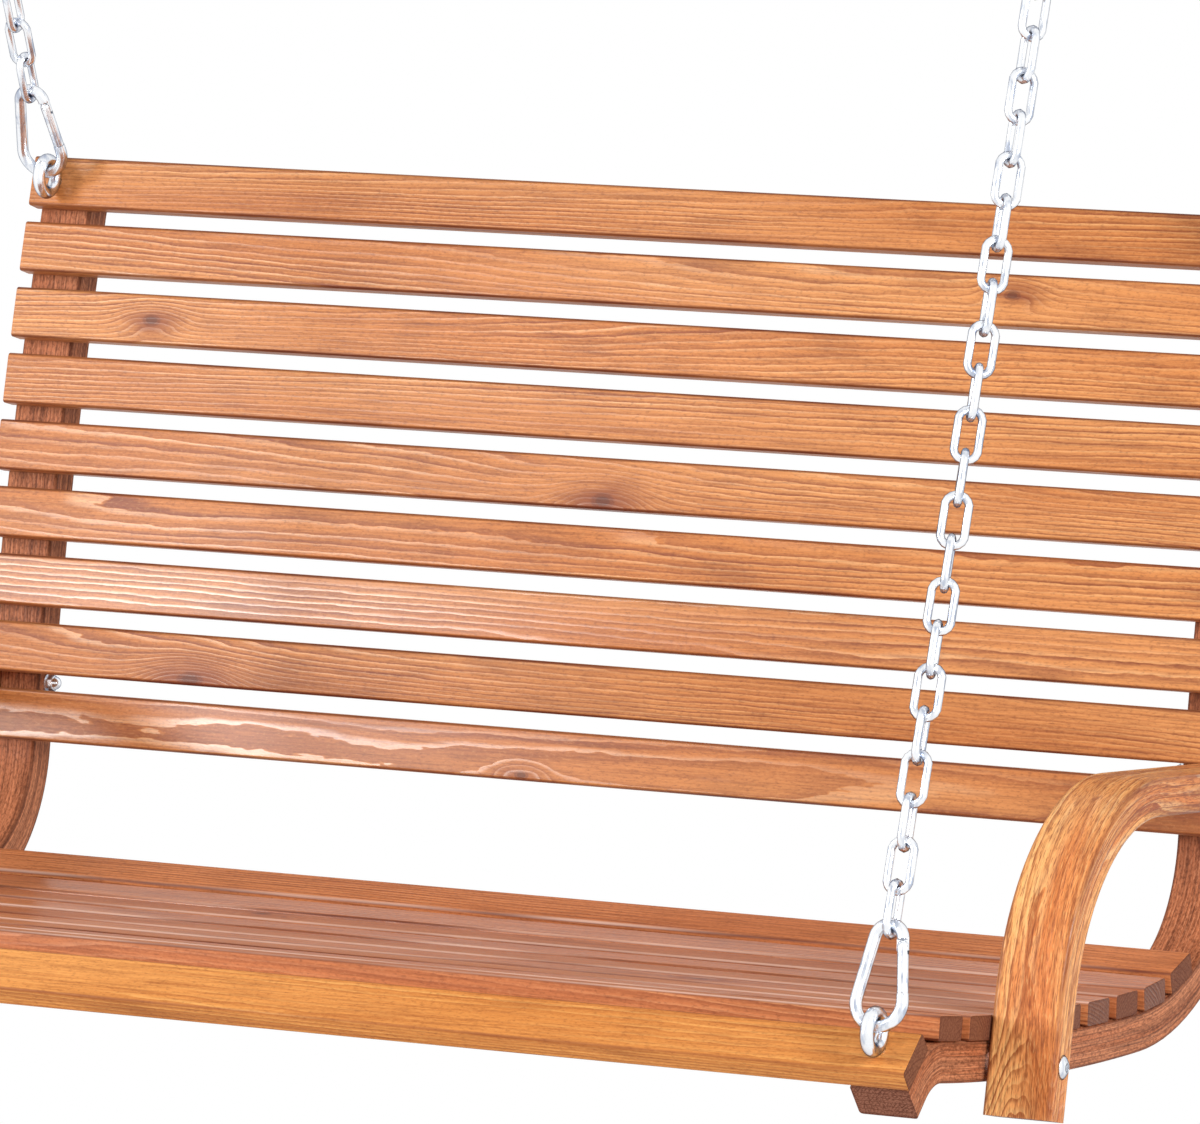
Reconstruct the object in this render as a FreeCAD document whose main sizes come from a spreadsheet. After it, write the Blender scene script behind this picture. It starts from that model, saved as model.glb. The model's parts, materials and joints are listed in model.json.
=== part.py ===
import FreeCAD, Part
import math
import os
import Sketcher
from FreeCAD import Placement, Rotation, Vector

# Swing bench: two bent rails, slats, bent arms and four chains on two top hooks.
# X runs along the bench, the sitter faces -Y, +Z is up, and the origin lies midway
# between the bearing points of the two top hooks.

doc = FreeCAD.newDocument("swing_bench")
sheet = doc.addObject("Spreadsheet::Sheet", "Sizes")

# Driving dimensions: millimetres, degrees or counts
driving = [
    ("slat_length", 1200, "length of every slat and of the front board"),
    ("slat_width", 45, "width of a slat"),
    ("slat_thickness", 20, "thickness of a slat"),
    ("slat_round", 3, "rounding of a slat's long edges"),
    ("slat_overhang", 2, "slat end past the outer face of the rail"),
    ("back_slats", 9, "number of slats in the back"),
    ("back_start", 28.7, "middle of the lowest back slat above the rear bend"),
    ("rail_top_drop", 4, "rail's top end below the upper edge of the top slat"),
    ("seat_slats", 9, "number of slats in the seat"),
    ("seat_start", 2, "middle of the first seat slat behind the front bend"),
    ("seat_end", 81.6, "middle of the last seat slat along the seat's upward sweep"),
    ("board_drop", 2, "front board's lower edge past the end of the rail"),
    ("rail_width", 50, "rail across X"),
    ("rail_thickness", 33, "rail across its laminations"),
    ("rail_round", 3, "rounding of the rail's long edges"),
    ("tail_length", 17.9, "straight front end of the rail"),
    ("front_bend", 57.7, "centre radius of the front bend"),
    ("front_angle", 48.35, "turn of the front bend, in degrees"),
    ("seat_run", 400.4, "slightly dished run under the seat"),
    ("seat_angle", 10.15, "fall of that run at its front, in degrees"),
    ("dish_angle", 7, "upward turn of the dished run, in degrees"),
    ("sweep_bend", 290, "centre radius of the upward sweep behind that run"),
    ("sweep_angle", 27.8, "turn of that sweep, in degrees"),
    ("rear_bend", 126, "centre radius of the bend between sweep and back"),
    ("rear_angle", 56.4, "turn of that bend, in degrees"),
    ("back_length", 518.3, "length of the gently curved upright"),
    ("back_angle", 9.5, "backward turn of the upright, in degrees"),
    ("arm_width", 58, "arm across X"),
    ("arm_thickness", 32, "arm across its laminations"),
    ("arm_round", 4, "rounding of the arm's long edges"),
    ("arm_bend", 175, "centre radius of the arm's bend"),
    ("leg_angle", 14, "lean of the arm's leg from upright, in degrees"),
    ("arm_angle", 6.5, "fall of the arm towards the back, in degrees"),
    ("leg_tail", 43, "arm's leg below its bolt"),
    ("arm_tail", 30, "arm's rear end behind its bolt"),
    ("arm_bolt_front", 91.3, "front arm bolt behind the front bend"),
    ("arm_bolt_rear", 58, "rear arm bolt above the rear bend"),
    ("spacer_thickness", 3, "washer between arm and rail"),
    ("spacer_diameter", 24, "outer diameter of that washer"),
    ("bolt_diameter", 8, "shank of arm bolts and eye bolts"),
    ("bolt_clearance", 0.4, "bolt holes over the shank"),
    ("bolt_head_diameter", 20, "domed head of an arm bolt"),
    ("bolt_head_height", 4.5, "height of that dome"),
    ("bolt_spare", 6, "bolt end past the face of its washer, inside the nut"),
    ("washer_diameter", 16, "washer under a nut"),
    ("washer_thickness", 1.6, "its thickness"),
    ("spot_margin", 1, "flat spot face in the rail round an eye washer"),
    ("nut_across", 13, "nut across its flats"),
    ("nut_height", 6.5, "height of a nut"),
    ("nut_clearance", 0.1, "nut's bore over the shank"),
    ("cap_radius", 6, "dome of a cap nut"),
    ("cap_wall", 3, "cap nut's bottom beyond the bolt's end"),
    ("cap_room", 1, "cap nut's bore past the bolt's end"),
    ("eye_radius", 14.6, "centre radius of an eye"),
    ("eye_wire", 11, "wire of an eye"),
    ("eye_standoff", 21, "centre of an eye in front of its slat"),
    ("eye_spare", 3, "eye bolt past its nut"),
    ("link_wire", 6.8, "wire of a chain link"),
    ("link_inner", 34.75, "inner length of a link"),
    ("link_width", 26, "outer width of a link"),
    ("front_links", 36, "links in a front chain"),
    ("rear_links", 19, "links in a rear chain"),
    ("hook_wire", 10, "wire of a spring hook"),
    ("hook_length", 91, "outer length of a spring hook"),
    ("hook_wide", 49, "outer width of its wide lower end"),
    ("hook_narrow", 34, "outer width of its narrow upper end"),
    ("nose_length", 5, "straight nose of the hook past its lower bend"),
    ("hinge_drop", 6, "gate pin below the hook's upper bend"),
    ("tongue_thickness", 3, "flattened hook end inside the gate's fork"),
    ("tongue_tail", 4, "flattened end past the gate pin"),
    ("gate_diameter", 9.2, "gate bar"),
    ("gate_gap", 0.5, "gate to nose and gate to shoulder"),
    ("fork_depth", 7, "fork slot of the gate below its pin"),
    ("fork_clearance", 0.2, "fork cheek to tongue"),
    ("pin_diameter", 3, "gate pin"),
    ("pin_clearance", 0.1, "pin holes over the pin"),
    ("screw_diameter", 4.5, "wood screw"),
    ("screw_length", 43, "screw under its head"),
    ("screw_head_diameter", 9, "screw head"),
    ("screw_head_height", 3, "height of the head"),
    ("screw_sink", 3.2, "depth of the head's recess in the rail"),
    ("screw_tip_room", 1, "pilot hole past the screw's tip"),
    ("hole_clearance", 0.3, "screw holes over the screw"),
    ("wood_gap", 0.2, "slat to rail"),
    ("washer_gap", 0.05, "washer to the back of the rail"),
    ("metal_gap", 0.25, "play between linked metal pieces"),
    ("swing_gap", 0.9, "end link over the top hook's wire"),
    ("link_side_gap", 0.6, "between the two end links on a top hook"),
]
for row, (alias, value, meaning) in enumerate(driving, start=1):
    sheet.set("A%d" % row, alias)
    sheet.set("B%d" % row, str(value))
    sheet.set("C%d" % row, meaning)
    sheet.setAlias("B%d" % row, alias)
doc.recompute()


def size(alias):
    return float(sheet.get(alias))


def bind(feature, **formulas):
    # Ties properties to formulas on the sheet's aliases, written without the sheet's name
    names = [alias for alias, _, _ in driving]
    for prop, formula in formulas.items():
        tied = ["Sizes." + word if word in names else word for word in formula.split(" ")]
        feature.setExpression(prop, " ".join(tied))


def half(alias):
    return size(alias) / 2


# Side paths: runs and arcs in the YZ plane, with headings in degrees above +Y


def direction(heading):
    return Vector(0, math.cos(math.radians(heading)), math.sin(math.radians(heading)))


def arc_chord(heading, length, turn):
    # Straight step across an arc of this length and turn, or along a run if turn is 0
    bend = math.radians(turn) / 2
    shrink = math.sin(bend) / bend if turn else 1
    return direction(heading + turn / 2) * (length * shrink)


class Walk:
    # A start, a first heading and steps of (length, turn); a positive turn goes left
    def __init__(self, start, heading, steps):
        self.start = start
        self.heading = heading
        self.steps = steps

    def length(self):
        return sum(length for length, _ in self.steps)

    def at(self, distance):
        point = self.start
        heading = self.heading
        for index, (length, turn) in enumerate(self.steps):
            last = index == len(self.steps) - 1
            taken = distance if last else min(distance, length)
            turned = turn * taken / length
            point = point + arc_chord(heading, taken, turned)
            heading += turned
            distance -= taken
            if distance <= 0:
                break
        return point, heading

    def offset(self, shift):
        # The parallel path at this distance to the left
        start = self.start + direction(self.heading + 90) * shift
        steps = [(length - shift * math.radians(turn), turn) for length, turn in self.steps]
        return Walk(start, self.heading, steps)

    def curves(self):
        # Line and arc geometry in sketch coordinates
        point = self.start
        heading = self.heading
        found = []
        for length, turn in self.steps:
            middle = point + arc_chord(heading, length / 2, turn / 2)
            end = point + arc_chord(heading, length, turn)
            if turn:
                found.append(Part.Arc(flat(point), flat(middle), flat(end)))
            else:
                found.append(Part.LineSegment(flat(point), flat(end)))
            point = end
            heading += turn
        return found


def flat(point):
    return Vector(point.y, point.z, 0)


def arc_length(radius, turn):
    return radius * math.radians(turn)


# Bodies: a rounded rectangle, padded evenly along X or carried along a side path


def new_sketch(body, name, place=None):
    # On the body's YZ plane, or free at a given placement
    sketch = body.newObject("Sketcher::SketchObject", name)
    if place:
        sketch.Placement = place
    else:
        plane = [part for part in body.Origin.OriginFeatures if part.Role == "YZ_Plane"][0]
        sketch.AttachmentSupport = [(plane, "")]
        sketch.MapMode = "FlatFace"
    return sketch


def rounded_rectangle(sketch, across, upright, rounding):
    # Lines 0 to 3 run round from the lower side, arcs 4 to 7 follow each of them
    wide = half(across) - size(rounding)
    high = half(upright) - size(rounding)
    corners = [(1, -1), (1, 1), (-1, 1), (-1, -1)]
    arcs = []
    for number, (right, up) in enumerate(corners):
        circle = Part.Circle(Vector(right * wide, up * high, 0), Vector(0, 0, 1), size(rounding))
        start = math.radians(90 * number - 90)
        arcs.append(Part.ArcOfCircle(circle, start, start + math.pi / 2))
    for number in range(4):
        sketch.addGeometry(Part.LineSegment(arcs[number - 1].EndPoint, arcs[number].StartPoint), False)
    sketch.addGeometry(arcs, False)
    rules = []
    for number in range(4):
        rules.append(Sketcher.Constraint("Tangent", number, 2, 4 + number, 1))
        rules.append(Sketcher.Constraint("Tangent", 4 + number, 2, (number + 1) % 4, 1))
        rules.append(Sketcher.Constraint("Vertical" if number % 2 else "Horizontal", number))
    for number in (5, 6):
        rules.append(Sketcher.Constraint("Equal", 4, number))
    rules.append(Sketcher.Constraint("Symmetric", 4, 3, 6, 3, -1, 1))
    sketch.addConstraint(rules)
    radius = sketch.addConstraint(Sketcher.Constraint("Radius", 4, size(rounding)))
    width = sketch.addConstraint(Sketcher.Constraint("DistanceX", 3, 1, 1, 1, size(across)))
    height = sketch.addConstraint(Sketcher.Constraint("DistanceY", 0, 1, 2, 1, size(upright)))
    for number, alias in ((radius, rounding), (width, across), (height, upright)):
        sketch.setExpression("Constraints[%d]" % number, "Sizes." + alias)


def band_body(name, walk, across, thick, rounding):
    # A strip of even section along a path, such as a bent lamination
    body = doc.addObject("PartDesign::Body", name)
    spine = new_sketch(body, name + "_spine")
    spine.addGeometry(walk.curves(), False)
    square = Rotation(Vector(1, 0, 0), direction(walk.heading + 90), direction(walk.heading) * -1, "XYZ")
    section = new_sketch(body, name + "_section", Placement(walk.start, square))
    rounded_rectangle(section, across, thick, rounding)
    pipe = body.newObject("PartDesign::AdditivePipe", name + "_pipe")
    pipe.Profile = section
    pipe.Spine = (spine, ["Edge%d" % number for number in range(1, len(walk.steps) + 1)])
    body.Tip = pipe
    return body


def slat_body(name):
    body = doc.addObject("PartDesign::Body", name)
    section = new_sketch(body, name + "_section")
    rounded_rectangle(section, "slat_width", "slat_thickness", "slat_round")
    pad = body.newObject("PartDesign::Pad", name + "_pad")
    pad.Profile = section
    pad.SideType = "Symmetric"
    bind(pad, Length="slat_length")
    body.Tip = pad
    return body


nodes = []


def finished(feature, label, placement):
    feature.Label = label
    feature.Placement = placement
    nodes.append(feature)
    return feature


def drilled(body, holes, label, placement):
    tool = doc.addObject("Part::Feature", label + "_holes")
    tool.Shape = Part.makeCompound(holes)
    cut = doc.addObject("Part::Cut", label)
    cut.Base = body
    cut.Tool = tool
    return finished(cut, label, placement)


def group(label, template, places, placement):
    # One node of separate, equal pieces
    pieces = []
    for place in places:
        piece = template.Shape.copy()
        piece.Placement = place.multiply(piece.Placement)
        pieces.append(piece)
    feature = doc.addObject("Part::Feature", label)
    feature.Shape = Part.makeCompound(pieces)
    return finished(feature, label, placement)


def cylinder(name, radius_formula, height_formula):
    feature = doc.addObject("Part::Cylinder", name)
    bind(feature, Radius=radius_formula, Height=height_formula)
    return feature


def fused(name, *features):
    feature = doc.addObject("Part::MultiFuse", name)
    feature.Shapes = list(features)
    return feature


def cut_from(name, base, tool):
    feature = doc.addObject("Part::Cut", name)
    feature.Base = base
    feature.Tool = tool
    return feature


def along(axis, point=Vector()):
    # Turns a piece made along +Z onto this axis
    return Placement(point, Rotation(Vector(0, 0, 1), axis))


# Rail path and the face that carries the slats

front_bend_length = arc_length(size("front_bend"), size("front_angle"))
sweep_length = arc_length(size("sweep_bend"), size("sweep_angle"))
rear_bend_length = arc_length(size("rear_bend"), size("rear_angle"))
rail_path = Walk(
    Vector(),
    size("front_angle") - size("seat_angle"),
    [
        (size("tail_length"), 0),
        (front_bend_length, -size("front_angle")),
        (size("seat_run"), size("dish_angle")),
        (sweep_length, size("sweep_angle")),
        (rear_bend_length, size("rear_angle")),
        (size("back_length"), -size("back_angle")),
    ],
)
rail_face = rail_path.offset(half("rail_thickness"))
rail_x = half("slat_length") - size("slat_overhang") - half("rail_width")
seat_zero = sum(length for length, _ in rail_face.steps[:2])


def slat_seat(distance):
    # Middle of a slat's underside, with the lift that its chord needs on a hollow bend
    point, heading = rail_face.at(distance)
    normal = direction(heading + 90)
    lift = 0
    for share in (-1, -0.5, 0.5, 1):
        beside, _ = rail_face.at(distance + share * half("slat_width"))
        lift = max(lift, (beside - point).dot(normal))
    return point + normal * (lift + size("wood_gap")), heading, lift + size("wood_gap")


def slat_place(distance):
    point, heading, _ = slat_seat(distance)
    middle = point + direction(heading + 90) * half("slat_thickness")
    return Placement(middle, Rotation(Vector(1, 0, 0), heading))


board_at = half("slat_width") - size("board_drop")
sweep_zero = sum(length for length, _ in rail_face.steps[:3])
back_zero = sum(length for length, _ in rail_face.steps[:5])
top_at = rail_face.length() - half("slat_width") + size("rail_top_drop")


def spread(first, last, count):
    # Even places from first to last
    return [first + (last - first) * number / (count - 1) for number in range(count)]


seat_at = spread(seat_zero + size("seat_start"), sweep_zero + size("seat_end"), int(size("seat_slats")))
back_at = spread(top_at, back_zero + size("back_start"), int(size("back_slats")))
screwed = back_at[1:] + seat_at


# Eye bolts stand square on the front board and on the top slat


def eye_frame(distance):
    point, heading, gap = slat_seat(distance)
    normal = direction(heading + 90)
    ring = point + normal * (size("slat_thickness") + size("eye_standoff"))
    seat = point - normal * (gap + size("rail_thickness") + size("washer_gap"))
    return ring, normal, seat


front_ring, front_normal, front_nut_seat = eye_frame(board_at)
rear_ring, rear_normal, rear_nut_seat = eye_frame(top_at)

# Chain lengths from an eye's centre to the middle of the top hook's lower wire

hook_rise = size("hook_length") - size("hook_wire")
hook_in_eye = size("eye_radius") - half("eye_wire") - size("metal_gap") - half("hook_wire")
first_link = hook_in_eye + hook_rise - half("hook_wire") - size("metal_gap") - half("link_wire")
link_rise = size("link_inner") + size("link_wire")
link_pitch = link_rise - size("link_wire") - size("metal_gap")
end_step = half("link_wire") + size("swing_gap") + half("hook_wire")


def chain_reach(links):
    return first_link + (links - 1) * link_pitch + link_rise - end_step


# The two chain lengths fix the swing axis above the bench

front_reach = chain_reach(size("front_links"))
rear_reach = chain_reach(size("rear_links"))
eye_span = (rear_ring - front_ring).Length
eye_axis = (rear_ring - front_ring).normalize()
upward = Vector(0, -eye_axis.z, eye_axis.y)
along_span = (front_reach ** 2 - rear_reach ** 2 + eye_span ** 2) / (2 * eye_span)
above_span = math.sqrt(front_reach ** 2 - along_span ** 2)
swing_axis = front_ring + eye_axis * along_span + upward * above_span

hook_drop = size("hook_length") - 2 * size("hook_wire") + half("hook_wire")
bench = Placement(Vector(0, -swing_axis.y, -swing_axis.z - hook_drop), Rotation())


def on_bench(place):
    return bench.multiply(place)


def sideways(x):
    return Placement(Vector(x, 0, 0), Rotation())


# Rails, with holes for arm bolts, eye bolts and slat screws

front_bolt, _ = rail_path.at(size("tail_length") + front_bend_length + size("arm_bolt_front"))
rear_bolt, _ = rail_path.at(rail_path.length() - size("back_length") + size("arm_bolt_rear"))
arm_bolts = [front_bolt, rear_bolt]
bolt_hole = half("bolt_diameter") + size("bolt_clearance") / 2
screw_hole = half("screw_diameter") + size("hole_clearance") / 2
head_hole = half("screw_head_diameter") + size("hole_clearance") / 2
spot_radius = half("washer_diameter") + size("spot_margin")


def cross_hole(point, width):
    start = point - Vector(width, 0, 0)
    return Part.makeCylinder(bolt_hole, 2 * width, start, Vector(1, 0, 0))


def screw_place(distance):
    # Under the screw head, at the bottom of its recess
    point, heading = rail_face.at(distance)
    normal = direction(heading + 90)
    return point - normal * (size("rail_thickness") - size("screw_sink")), normal


def screw_bore(distance):
    base, normal = screw_place(distance)
    shank = Part.makeCylinder(screw_hole, size("rail_thickness"), base, normal)
    recess = Part.makeCylinder(head_hole, 2 * size("screw_sink"), base, normal * -1)
    return shank.fuse(recess)


def rail_holes():
    holes = [cross_hole(point, size("rail_width")) for point in arm_bolts]
    for _, normal, seat in (eye_frame(board_at), eye_frame(top_at)):
        shank = Part.makeCylinder(bolt_hole, 2 * size("rail_thickness"), seat, normal)
        spot_face = Part.makeCylinder(spot_radius, size("rail_thickness"), seat, normal * -1)
        holes.append(shank.fuse(spot_face))
    return holes + [screw_bore(distance) for distance in screwed]


for side, sign in (("left", -1), ("right", 1)):
    strip = band_body("rail_strip_" + side, rail_path, "rail_width", "rail_thickness", "rail_round")
    drilled(strip, rail_holes(), "side_rail_" + side, on_bench(sideways(sign * rail_x)))


# Slats and front board

bore_length = 2 * size("slat_thickness")


def slat_holes(through, distance):
    # Either a bolt hole right through or a blind hole for the screw, over each rail
    holes = []
    _, _, gap = slat_seat(distance)
    reach = size("screw_length") - size("rail_thickness") + size("screw_sink") - gap
    for x in (-rail_x, rail_x):
        base = Vector(x, 0, -half("slat_thickness"))
        up = Vector(0, 0, 1)
        if through:
            holes.append(Part.makeCylinder(bolt_hole, 2 * bore_length, base - up * bore_length, up))
        else:
            depth = reach + size("screw_tip_room")
            holes.append(Part.makeCylinder(screw_hole, depth + bore_length, base - up * bore_length, up))
    return holes


def slat(label, distance, through=False):
    body = slat_body(label + "_blank")
    drilled(body, slat_holes(through, distance), label, on_bench(slat_place(distance)))


slat("front_board", board_at, through=True)
for number, distance in enumerate(seat_at, start=1):
    slat("seat_slat_%d" % number, distance)
for number, distance in enumerate(back_at, start=1):
    slat("back_slat_%d" % number, distance, through=number == 1)


# Arms: leg, bend and top run, solved so that they pass through both bolts

leg_heading = 90 - size("leg_angle")
arm_turn = leg_heading + size("arm_angle")
arm_bend_length = arc_length(size("arm_bend"), arm_turn)
leg_way = direction(leg_heading)
top_way = direction(-size("arm_angle"))
missing = rear_bolt - front_bolt - arc_chord(leg_heading, arm_bend_length, -arm_turn)
leg_run = missing.cross(top_way).x / leg_way.cross(top_way).x
top_run = leg_way.cross(missing).x / leg_way.cross(top_way).x
arm_path = Walk(
    front_bolt - leg_way * size("leg_tail"),
    leg_heading,
    [
        (size("leg_tail") + leg_run, 0),
        (arm_bend_length, -arm_turn),
        (top_run + size("arm_tail"), 0),
    ],
)
arm_inner = rail_x + half("rail_width") + size("spacer_thickness")
arm_outer = arm_inner + size("arm_width")
arm_middle = (arm_inner + arm_outer) / 2
for side, sign in (("left", -1), ("right", 1)):
    strip = band_body("arm_strip_" + side, arm_path, "arm_width", "arm_thickness", "arm_round")
    holes = [cross_hole(point, size("arm_width")) for point in arm_bolts]
    drilled(strip, holes, "armrest_" + side, on_bench(sideways(sign * arm_middle)))


# Arm bolts with domed heads outside, spacers, and washers with cap nuts on the inner side


def cross_places(x):
    places = []
    for sign in (-1, 1):
        for point in arm_bolts:
            places.append(along(Vector(sign, 0, 0), point + Vector(sign * x, 0, 0)))
    return places


rail_inner = rail_x - half("rail_width")
dome = doc.addObject("Part::Sphere", "bolt_dome")
dome_radius = "( bolt_head_diameter ^ 2 / 4 + bolt_head_height ^ 2 ) / ( 2 * bolt_head_height )"
bind(dome, Radius=dome_radius)
bind(dome, Angle1="asin( 1 - bolt_head_height / ( %s ) )" % dome_radius)
bind(dome, **{"Placement.Base.z": "bolt_head_height - " + dome_radius})
bolt_reach = arm_outer - rail_inner + size("washer_thickness") + size("bolt_spare")
shank = doc.addObject("Part::Cylinder", "bolt_shank")
bind(shank, Radius="bolt_diameter / 2")
shank.Height = bolt_reach
shank.Placement.Base = Vector(0, 0, -bolt_reach)
bolt = fused("arm_bolt", dome, shank)


def ring_washer(name, diameter, thickness):
    bore = cylinder(name + "_bore", "bolt_diameter / 2 + bolt_clearance / 2", thickness)
    return cut_from(name, cylinder(name + "_disc", diameter + " / 2", thickness), bore)


spacer = ring_washer("arm_spacer", "spacer_diameter", "spacer_thickness")
washer = ring_washer("nut_washer", "washer_diameter", "washer_thickness")


def nut_prism(name, height_formula):
    prism = doc.addObject("Part::Prism", name)
    prism.Polygon = 6
    bind(prism, Circumradius="nut_across / sqrt( 3 )", Height=height_formula)
    return prism


cap_dome = doc.addObject("Part::Sphere", "cap_dome")
bind(cap_dome, Radius="cap_radius")
bind(cap_dome, **{"Placement.Base.z": "bolt_spare + cap_wall - cap_radius + nut_height / 2"})
cap_bore = cylinder("cap_bore", "bolt_diameter / 2 + nut_clearance / 2", "bolt_spare + cap_room")
cap_nut = cut_from("cap_nut", fused("cap_blank", nut_prism("cap_hexagon", "nut_height"), cap_dome), cap_bore)
eye_nut = cut_from(
    "eye_nut",
    nut_prism("nut_hexagon", "nut_height"),
    cylinder("nut_bore", "bolt_diameter / 2 + nut_clearance / 2", "nut_height"),
)
doc.recompute()
group("arm_bolts", bolt, cross_places(arm_outer), bench)
group("arm_spacers", spacer, cross_places(rail_x + half("rail_width")), bench)


def inward_places(x):
    turned = Placement(Vector(), Rotation(Vector(1, 0, 0), 180))
    return [place.multiply(turned) for place in cross_places(x)]


group("arm_washers", washer, inward_places(rail_inner), bench)
group("cap_nuts", cap_nut, inward_places(rail_inner - size("washer_thickness")), bench)


# Slat screws, driven through the rails from below and behind

screw_head = cylinder("screw_head", "screw_head_diameter / 2", "screw_head_height")
bind(screw_head, **{"Placement.Base.z": "0 - screw_head_height"})
screw = fused("screw", screw_head, cylinder("screw_shank", "screw_diameter / 2", "screw_length"))
doc.recompute()


def screw_places(distances):
    places = []
    for distance in distances:
        base, normal = screw_place(distance)
        for x in (-rail_x, rail_x):
            places.append(along(normal, base + Vector(x, 0, 0)))
    return places


group("back_screws", screw, screw_places(back_at[1:]), bench)
group("seat_screws", screw, screw_places(seat_at), bench)


# Eye bolts, made with the eye at the origin and the shank down -Z

eye_ring = doc.addObject("Part::Torus", "eye_ring")
bind(eye_ring, Radius1="eye_radius", Radius2="eye_wire / 2")
eye_ring.Placement = Placement(Vector(), Rotation(Vector(0, 1, 0), 90))
eye_shank = cylinder(
    "eye_shank",
    "bolt_diameter / 2",
    "eye_standoff + slat_thickness + wood_gap + rail_thickness + washer_thickness"
    " + nut_height + eye_spare - eye_radius",
)
eye_shank.Placement = Placement(Vector(0, 0, -size("eye_radius")), Rotation(Vector(1, 0, 0), 180))
eye_bolt = fused("eye_bolt", eye_ring, eye_shank)
doc.recompute()


def pair(normal, point):
    # Square to X, so that the eye's plane stays upright
    lean = math.degrees(math.atan2(-normal.y, normal.z))
    turn = Rotation(Vector(1, 0, 0), lean)
    return [Placement(point + Vector(x, 0, 0), turn) for x in (-rail_x, rail_x)]


group("front_eye_bolts", eye_bolt, pair(front_normal, front_ring), bench)
group("rear_eye_bolts", eye_bolt, pair(rear_normal, rear_ring), bench)
under_washers = pair(front_normal * -1, front_nut_seat) + pair(rear_normal * -1, rear_nut_seat)
past_washer = Placement(Vector(0, 0, size("washer_thickness")), Rotation())
under_nuts = [place.multiply(past_washer) for place in under_washers]
group("eye_washers", washer, under_washers, bench)
group("eye_nuts", eye_nut, under_nuts, bench)


# Chain link: a six-sided wire along an eight-sided ring, with flat mitres

wire_sides = 6
ring_sides = 8


def link_solid():
    bend = half("link_width") - half("link_wire")
    straight = link_rise / 2 - bend
    half_step = math.pi / ring_sides
    mitre = 1 / math.cos(half_step)
    rings = []
    for number in range(ring_sides):
        angle = half_step * (1 + 2 * number)
        outward = Vector(0, math.cos(angle), math.sin(angle)) * mitre
        rise = straight if number < ring_sides / 2 else -straight
        middle = outward * bend + Vector(0, 0, rise)
        ring = []
        for side in range(wire_sides):
            around = 2 * math.pi * side / wire_sides
            aside = Vector(half("link_wire") * math.sin(around), 0, 0)
            ring.append(middle + outward * (half("link_wire") * math.cos(around)) + aside)
        rings.append(ring)
    faces = []
    for number in range(ring_sides):
        here = rings[number]
        there = rings[(number + 1) % ring_sides]
        for side in range(wire_sides):
            other = (side + 1) % wire_sides
            loop = [here[side], there[side], there[other], here[other], here[side]]
            faces.append(Part.Face(Part.makePolygon(loop)))
    solid = Part.Solid(Part.Shell(faces))
    if solid.Volume < 0:
        solid.reverse()
    return solid


link = doc.addObject("Part::Feature", "chain_link")
link.Shape = link_solid()


def in_frame(point, x):
    return bench.multVec(point + Vector(x, 0, 0))


def chain_line(ring, x, shift):
    # From an eye to its place on the top hook's lower wire
    start = in_frame(ring, x)
    end = Vector(x + shift, 0, -hook_drop)
    return start, (end - start).normalize()


def chain_places(start, way, links):
    # The links turn by a quarter each; an even chain twists slowly, so that both ends lie alike
    places = []
    closing = 0 if links % 2 else 90
    for number in range(links):
        share = number / (links - 1)
        spin = 90 * number + closing * share
        middle = start + way * (first_link + number * link_pitch + link_rise / 2)
        turn = Rotation(Vector(0, 0, 1), way).multiply(Rotation(Vector(0, 0, 1), spin))
        places.append(Placement(middle, turn))
    return places


# Spring hook: a pear of bent wire with a hinged gate, made with its lower wire at the origin

wide_bend = half("hook_wide") - half("hook_wire")
narrow_bend = half("hook_narrow") - half("hook_wire")
low_centre = Vector(0, 0, wide_bend)
high_centre = Vector(0, 0, hook_rise - narrow_bend)
limb_lean = math.degrees(math.asin((wide_bend - narrow_bend) / (high_centre.z - low_centre.z)))


def round_point(centre, radius, angle):
    return centre + Vector(radius * math.cos(math.radians(angle)), 0, radius * math.sin(math.radians(angle)))


limb_low = round_point(low_centre, wide_bend, limb_lean)
limb_high = round_point(high_centre, narrow_bend, limb_lean)
limb_way = (limb_high - limb_low).normalize()
nose_end = limb_low + limb_way * size("nose_length")
pin_point = limb_high - limb_way * size("hinge_drop")
tongue_end = pin_point - limb_way * size("tongue_tail")
far_high = Vector(-limb_high.x, 0, limb_high.z)
far_low = Vector(-limb_low.x, 0, limb_low.z)
hook_spine = doc.addObject("Part::Feature", "hook_spine")
hook_spine.Shape = Part.Wire(
    [
        Part.LineSegment(tongue_end, limb_high).toShape(),
        Part.Arc(limb_high, Vector(0, 0, hook_rise), far_high).toShape(),
        Part.LineSegment(far_high, far_low).toShape(),
        Part.Arc(far_low, Vector(), limb_low).toShape(),
        Part.LineSegment(limb_low, nose_end).toShape(),
    ]
)
hook_section = doc.addObject("Part::Circle", "hook_section")
bind(hook_section, Radius="hook_wire / 2")
hook_section.Placement = along(limb_way, tongue_end)
hook_blank = doc.addObject("Part::Sweep", "hook_blank")
hook_blank.Sections = [hook_section]
hook_blank.Spine = (hook_spine, ["Edge%d" % number for number in range(1, 6)])
hook_blank.Solid = True
hook_blank.Frenet = False

gate_radius = half("gate_diameter")
shoulder = gate_radius + size("gate_gap")
cheek = doc.addObject("Part::Box", "tongue_cheek")
bind(cheek, Length="2 * hook_wire", Width="hook_wire", Height="2 * tongue_tail + 2 * gate_diameter")
cheek_depth = 2 * size("tongue_tail") + 2 * size("gate_diameter")
cheek.Placement.Base = Vector(-size("hook_wire"), half("tongue_thickness"), shoulder - cheek_depth)
pin_hole = cylinder("pin_hole", "pin_diameter / 2 + pin_clearance / 2", "2 * hook_wire")
pin_hole.Placement = Placement(Vector(0, size("hook_wire"), 0), Rotation(Vector(1, 0, 0), 90))
doc.recompute()

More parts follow.
